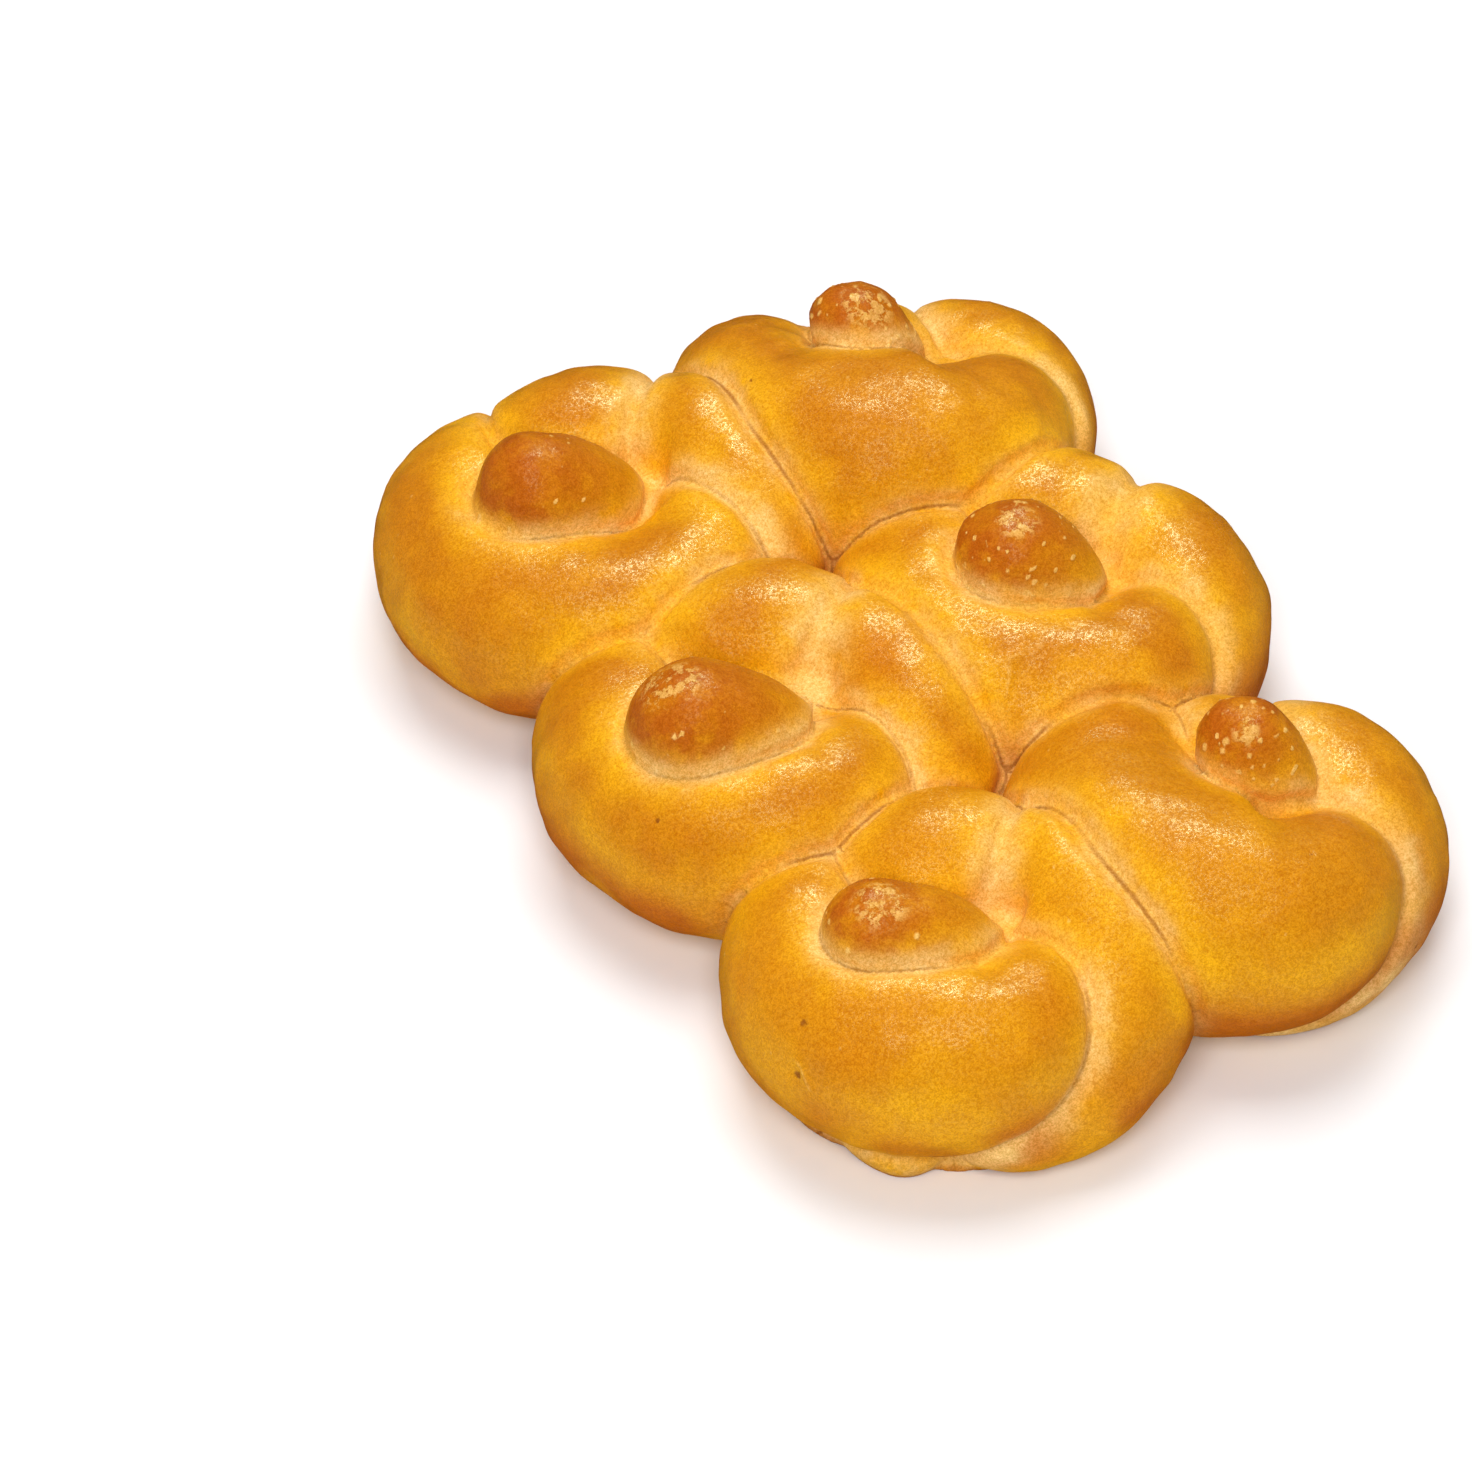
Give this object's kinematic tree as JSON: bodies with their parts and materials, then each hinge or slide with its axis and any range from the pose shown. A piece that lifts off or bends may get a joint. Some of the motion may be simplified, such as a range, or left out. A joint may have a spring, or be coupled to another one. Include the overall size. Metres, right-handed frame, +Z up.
{
  "type": "knotted bread rolls",
  "caption": "Egg-washed knotted bread rolls that rose together into one pull-apart slab, each with a rope coiled round a browned knob, on a flat tray-baked base.",
  "frame": {"origin": "on the tray the slab was baked on, under the middle of its bounding box", "axes": "+Z up from the flat baked base, +Y along the slab's long side from the front row of rolls to the back row, +X from the left column of rolls to the right column"},
  "size_m": [0.1768, 0.2458, 0.0604],
  "materials": {
    "crust": "satin"
  },
  "bodies": {
    "root": {"knotted_rolls": "crust"}
  },
  "joints": []
}
